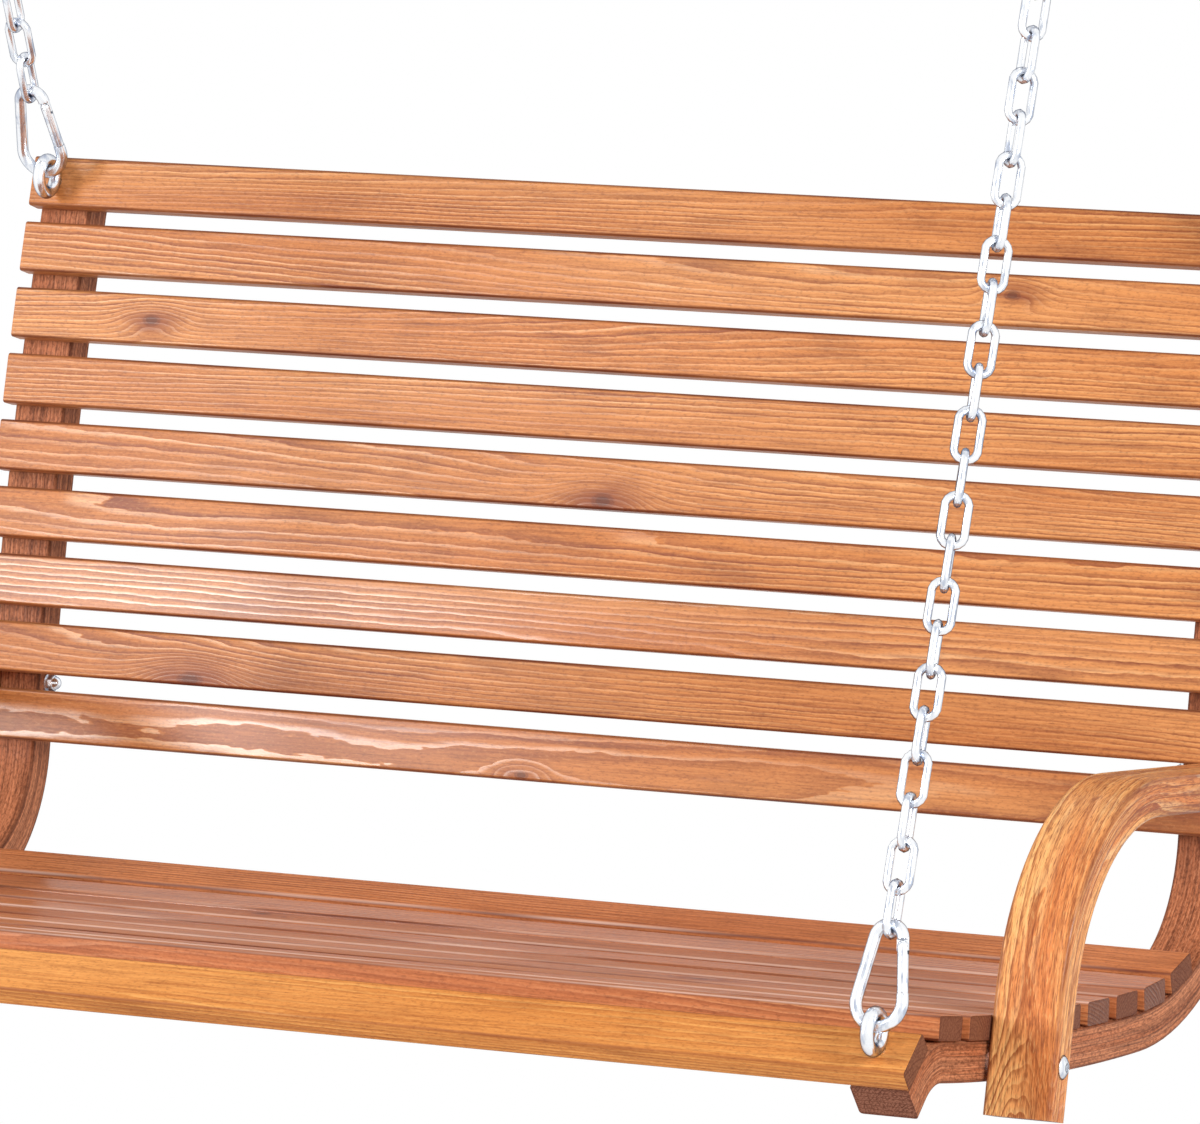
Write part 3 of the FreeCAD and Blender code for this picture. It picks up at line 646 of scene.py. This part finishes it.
def modelStrip(name, spec, x, table):
    dropSelection()
    bpy.ops.mesh.primitive_plane_add(size=1)
    strip = bpy.context.object
    strip.name = name
    strip.scale = (spec["width"], spec["thickness"], 1)
    bpy.ops.object.transform_apply(scale=True)
    bpy.ops.object.mode_set(mode="EDIT")
    bpy.ops.mesh.select_all(action="SELECT")
    bpy.ops.mesh.bevel(offset=spec["round"], segments=4, affect="VERTICES")
    bpy.ops.object.mode_set(mode="OBJECT")
    start, angle = table[0][:2]
    place = Matrix((alongX, heading(angle + 90), heading(angle))).transposed().to_4x4()
    place.translation = (x, start.y, start.z)
    setDown(strip, place)
    bpy.ops.object.mode_set(mode="EDIT")
    bpy.ops.mesh.select_mode(type="FACE")
    bpy.ops.mesh.select_all(action="SELECT")
    for point, angle, length, turn in table:
        if turn:
            swing = math.radians(turn)
            centre = Vector((x, point.y, point.z)) + heading(angle + 90) * (length / swing)
            steps = [bends["fewest"], int(abs(turn) / bends["degrees"]), int(length / bends["reach"])]
            bpy.ops.mesh.spin(steps=max(steps), angle=-swing, center=centre, axis=alongX)
        else:
            step = heading(angle) * length
            bpy.ops.mesh.extrude_region_move(TRANSFORM_OT_translate={"value": step})
    bpy.ops.object.mode_set(mode="OBJECT")
    mendSkin(strip)
    return strip


def markStrip(strip, x, table):
    # stick coordinates: along the run, across it, and through its layers
    values = []
    for vertex in strip.data.vertices:
        best = None
        behind = 0.0
        for point, angle, length, turn in table:
            offset = vertex.co - point
            if turn:
                bend = length / math.radians(turn)
                spoke = offset - heading(angle + 90) * bend
                way = 1 if turn > 0 else -1
                swept = math.degrees(math.atan2(spoke.z, spoke.y)) - (angle - 90 * way)
                share = ((swept + 180) % 360 - 180) / turn
                off = bend - Vector((0, spoke.y, spoke.z)).length * way
            else:
                share = offset.dot(heading(angle)) / length
                off = offset.dot(heading(angle + 90))
            miss = max(0, -share, share - 1) * length
            if best is None or miss < best[0] - bends["tie"]:
                best = (miss, behind + share * length, off)
            behind += length
        values.append((best[1], vertex.co.x - x, best[2]))
    writeVectors(strip.data, "stick", values)
    # the end faces are the only ones with more than four corners
    ends = [1.0 if len(face.vertices) > 4 else 0.0 for face in strip.data.polygons]
    writeFaces(strip.data, "cutEnd", ends)


def trialBox(spec, runs):
    # corners of a strip that starts at the origin
    trial = modelStrip("trial", spec, 0, layOut(spec, (0, 0, 0), runs))
    points = [v.co for v in trial.data.vertices]
    low = Vector([min(point[i] for point in points) for i in range(3)])
    high = Vector([max(point[i] for point in points) for i in range(3)])
    bpy.data.objects.remove(trial)
    return low, high


def meetFrame(spec, runs, frameLow):
    # starts so that the strip's lowest and foremost points meet the frame's
    low = trialBox(spec, runs)[0]
    return layOut(spec, (0, frameLow.y - low.y, frameLow.z - low.z), runs)


def bendPair(spec, table, finish, slot):
    pair = []
    for side in ("left", "right"):
        node = spec["nodes"] + side
        low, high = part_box(node)
        x = (low.x + high.x) / 2
        strip = modelStrip(node + "_wood", spec, x, table)
        markStrip(strip, x, table)
        softShade(strip, smoothUnder["wood"])
        cutFromLog(strip, luck, spec["skew"], *spec["pith"])
        setKnot(strip, spec["knot"])
        setLacquer(strip, spec["lacquer"])
        putOn(strip, finish, slot, node)
        pair.append(strip)
    return pair


def armRuns(leg, top):
    # from the foot through the bend to the rear end
    return [(leg, 0), (None, arm["turn"], arm["bend"]), (top, 0)]


def paintBendShade(strip):
    # painted shade: the upper bend darker than the leg, as it takes less light
    stick = strip.data.attributes["stick"].data
    first, last = arm["stained"]
    values = []
    for face in strip.data.polygons:
        along = sum(stick[i].vector[0] for i in face.vertices) / len(face.vertices)
        values.append(arm["stain"] * min(1, max(0, (along - first) / (last - first))))
    strip.data.attributes["shade"].data.foreach_set("value", values)


luck = random.Random(bends["seed"])
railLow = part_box("side_rail_left")[0]
bendPair(rail, meetFrame(rail, rail["runs"], railLow), railFinish, "dark_larch")
print("rails bent")

# the leg and the top take up what a trial misses of the frame's height and depth
armLow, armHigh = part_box("armrest_left")
lean = math.radians(arm["heading"])
slope = math.radians(arm["turn"] + arm["heading"])
leg, top = arm["leg"], arm["top"]
for attempt in range(arm["fits"]):
    low, high = trialBox(arm, armRuns(leg, top))
    missY = armHigh.y - armLow.y - (high.y - low.y)
    missZ = armHigh.z - armLow.z - (high.z - low.z)
    leg += missZ / math.sin(lean)
    top += missY / math.cos(slope) - missZ / math.tan(lean)
armTable = meetFrame(arm, armRuns(leg, top), armLow)
for strip in bendPair(arm, armTable, armFinish, "golden_larch"):
    paintBendShade(strip)
print("arms bent, leg and top", round(leg, 4), round(top, 4))


# chains: one round link, set on every link of the frame

link = {"wire": 0.0068, "width": 0.026, "length": 0.04835, "around": 16, "sides": 8}


def modelLink():
    dropSelection()
    bpy.ops.mesh.primitive_torus_add(
        major_segments=link["around"], minor_segments=link["sides"],
        major_radius=(link["width"] - link["wire"]) / 2, minor_radius=link["wire"] / 2,
        rotation=(0, 0, math.pi / link["around"]),
    )
    ring = bpy.context.object
    bpy.ops.object.transform_apply(rotation=True)
    points = ring.data.vertices
    stretch = (link["length"] - link["width"]) / 2
    for way in (1, -1):
        pickFaces(ring, lambda face: all(points[i].co.x * way > 0 for i in face.vertices))
        bpy.ops.transform.translate(value=(stretch * way, 0, 0))
        bpy.ops.object.mode_set(mode="OBJECT")
    takeUp(ring)
    bpy.ops.object.shade_smooth()
    return ring


def looseParts(node):
    # the separate solids of a node, as arrays of points
    mergeDoubles(copyOfNode(node, "loose"))
    bpy.ops.mesh.separate(type="LOOSE")
    bpy.ops.object.mode_set(mode="OBJECT")
    found = []
    for part in list(bpy.context.selected_objects):
        found.append(numpy.array([v.co for v in part.data.vertices]))
        bpy.data.objects.remove(part)
    return found


def longFrame(points):
    # X along the longest way, Y along the next
    ways = numpy.linalg.eigh(numpy.cov((points - points.mean(0)).T))[1]
    x, y = Vector(ways[:, 2]), Vector(ways[:, 1])
    turn = Matrix((x, y, x.cross(y)))
    spots = points @ numpy.array(turn).T
    place = turn.transposed().to_4x4()
    place.translation = turn.transposed() @ Vector((spots.min(0) + spots.max(0)) / 2)
    return place


def joinAll(pieces, name):
    dropSelection()
    for piece in pieces:
        piece.select_set(True)
    bpy.context.view_layer.objects.active = pieces[0]
    bpy.ops.object.join()
    pieces[0].name = name
    return pieces[0]


ringLink = modelLink()
for node in sorted(frame["nodes"]):
    if node.startswith("chain_"):
        places = [longFrame(points) for points in looseParts(node)]
        links = [anotherOf(ringLink, node + "_link") for _ in places]
        for piece, place in zip(links, places):
            setDown(piece, place)
        chain = joinAll(links, node + "_links")
        putOn(chain, zinc, "bright_zinc", node)
        print(node, len(places), "links")
bpy.data.objects.remove(ringLink)


# hooks, gates, eyes, bolts, nuts and washers keep the frame's shapes, merged and smoothed;
# screw heads get a cross and bolt heads a socket

screw = {
    "head": 0.009, "deep": 0.0014, "sides": 20, "round": 0.0004, "slot": 0.0012, "reach": 0.0054,
    "proud": 0.0005,
}
socket = {"radius": 0.0034, "deep": 0.003, "sides": 6, "lift": 0.0002}


def headFrame(points):
    # at the top of a fastener's head, Z outwards
    place = longFrame(points)
    back = place.inverted()
    spots = [back @ Vector(point) for point in points]
    widest = max(spots, key=lambda spot: spot.y ** 2 + spot.z ** 2)
    way = 1 if widest.x > 0 else -1
    out = place.to_3x3() @ Vector((way, 0, 0))
    turned = out.to_track_quat("Z", "Y").to_matrix().to_4x4()
    turned.translation = place.translation + out * max(spot.x * way for spot in spots)
    return turned


def cutAway(piece, tool):
    takeUp(piece)
    cut = piece.modifiers.new("cut", "BOOLEAN")
    cut.operation = "DIFFERENCE"
    cut.object = tool
    bpy.ops.object.modifier_apply(modifier=cut.name)
    bpy.data.objects.remove(tool)


def modelScrewHead():
    dropSelection()
    bpy.ops.mesh.primitive_cylinder_add(
        vertices=screw["sides"], radius=screw["head"] / 2, depth=screw["deep"],
    )
    head = bpy.context.object
    pickEdges(head, lambda a, b: min(a.z, b.z) > 0)
    bpy.ops.mesh.bevel(offset=screw["round"], segments=2, affect="EDGES")
    bpy.ops.object.mode_set(mode="OBJECT")
    for length, width in ((screw["reach"], screw["slot"]), (screw["slot"], screw["reach"])):
        bpy.ops.mesh.primitive_cube_add(size=1, location=(0, 0, screw["deep"] / 2))
        bar = bpy.context.object
        bar.scale = (length, width, screw["deep"])
        bpy.ops.object.transform_apply(location=True, scale=True)
        cutAway(head, bar)
    setDown(head, Matrix.Translation((0, 0, screw["proud"] - screw["deep"] / 2)))
    return head


def modelSocket(place):
    dropSelection()
    bpy.ops.mesh.primitive_cylinder_add(
        vertices=socket["sides"], radius=socket["radius"], depth=socket["deep"] * 2,
    )
    tool = bpy.context.object
    setDown(tool, place @ Matrix.Translation((0, 0, socket["lift"])))
    return tool


screwHead = modelScrewHead()
hardware = [node for node in sorted(frame["nodes"]) if "hook" in node or "eye" in node]
hardware += ["arm_bolts", "arm_spacers", "arm_washers", "cap_nuts", "back_screws", "seat_screws"]
for node in hardware:
    metal = copyOfNode(node, node + "_metal")
    mergeDoubles(metal)
    bpy.ops.object.mode_set(mode="OBJECT")
    if node == "arm_bolts":
        for points in looseParts(node):
            cutAway(metal, modelSocket(headFrame(points)))
    if node in ("back_screws", "seat_screws"):
        heads = []
        for points in looseParts(node):
            head = anotherOf(screwHead, node + "_head")
            setDown(head, headFrame(points))
            heads.append(head)
        metal = joinAll([metal] + heads, node + "_metal")
    softShade(metal, smoothUnder["metal"])
    putOn(metal, zinc, "bright_zinc", node)
bpy.data.objects.remove(screwHead)
print("metal pieces:", len(hardware))


# floor, light and camera

stage = {
    "floor": -1.85, "reach": 2.6, "sides": 96, "fade": (0.7, 1.45), "ambient": 0.48,
    "grey": (0.86, 0.86, 0.86, 1), "white": (1, 1, 1, 1),
}
lamps = {
    "keyLight": {"place": (-2.35, -3.35, -0.45), "aim": (0, 0, -1.1), "reach": 0.9, "power": 66},
    "fillLight": {"place": (-2.5, -3.2, 0.9), "aim": (-0.2, 0, -0.9), "reach": 1.6, "power": 55},
    "sideLight": {"place": (3.4, -1.6, 0.2), "aim": (0.3, 0, -1.1), "reach": 1.8, "power": 94},
}
shot = {
    "place": (3.431, -6.82814, 0.07722), "down": 8.2684, "aside": 26, "lens": 275.596,
    "sensor": 36, "farthest": 60,
}


def floorFinish():
    # fades to white away from the part
    finish, g = newFinish("paleFloor")
    x, y = g.parts(g.add("ShaderNodeTexCoord", out="Object"))[:2]
    far = (x ** 2.0 + y ** 2.0) ** 0.5
    fade = far.rise(*stage["fade"]) * g.seen()
    plain = g.add("ShaderNodeBsdfDiffuse", None, {"Color": stage["grey"]})
    white = g.add("ShaderNodeEmission", None, {"Color": stage["white"], "Strength": 1.0})
    shader = g.add("ShaderNodeMixShader", None, {0: fade, 1: plain, 2: white})
    g.add("ShaderNodeOutputMaterial", None, {"Surface": shader})
    return finish


def hangLamp(name, place, aim, reach, power):
    lamp = bpy.data.lights.new(name, "AREA")
    lamp.shape = "DISK"
    lamp.size = reach
    lamp.energy = power
    holder = bpy.data.objects.new(name, lamp)
    holder.location = place
    holder.rotation_euler = (Vector(aim) - Vector(place)).to_track_quat("-Z", "Y").to_euler()
    bpy.context.scene.collection.objects.link(holder)


dropSelection()
bpy.ops.mesh.primitive_circle_add(
    vertices=stage["sides"], radius=stage["reach"], fill_type="NGON", location=(0, 0, stage["floor"]),
)
floor = bpy.context.object
floor.name = "floor"
floor.data.materials.append(floorFinish())

world = bpy.data.worlds.new("studio")
bpy.context.scene.world = world
world.use_nodes = True
world.node_tree.nodes.clear()
g = Graph(world.node_tree)
sky = g.add("ShaderNodeBackground", None, {
    "Color": stage["white"],
    "Strength": stage["ambient"] + (1.0 - stage["ambient"]) * g.seen(),
})
g.add("ShaderNodeOutputWorld", None, {"Surface": sky})
for name, lamp in lamps.items():
    hangLamp(name, **lamp)

camera = bpy.data.cameras.new("photoCamera")
camera.sensor_fit = "HORIZONTAL"
camera.sensor_width = shot["sensor"]
camera.lens = shot["lens"]
camera.clip_end = shot["farthest"]
eye = bpy.data.objects.new("photoCamera", camera)
eye.location = shot["place"]
eye.rotation_euler = (math.radians(90 - shot["down"]), 0, math.radians(shot["aside"]))
bpy.context.scene.collection.objects.link(eye)
bpy.context.scene.camera = eye
bpy.context.scene.view_settings.view_transform = "Standard"
print("stage set")
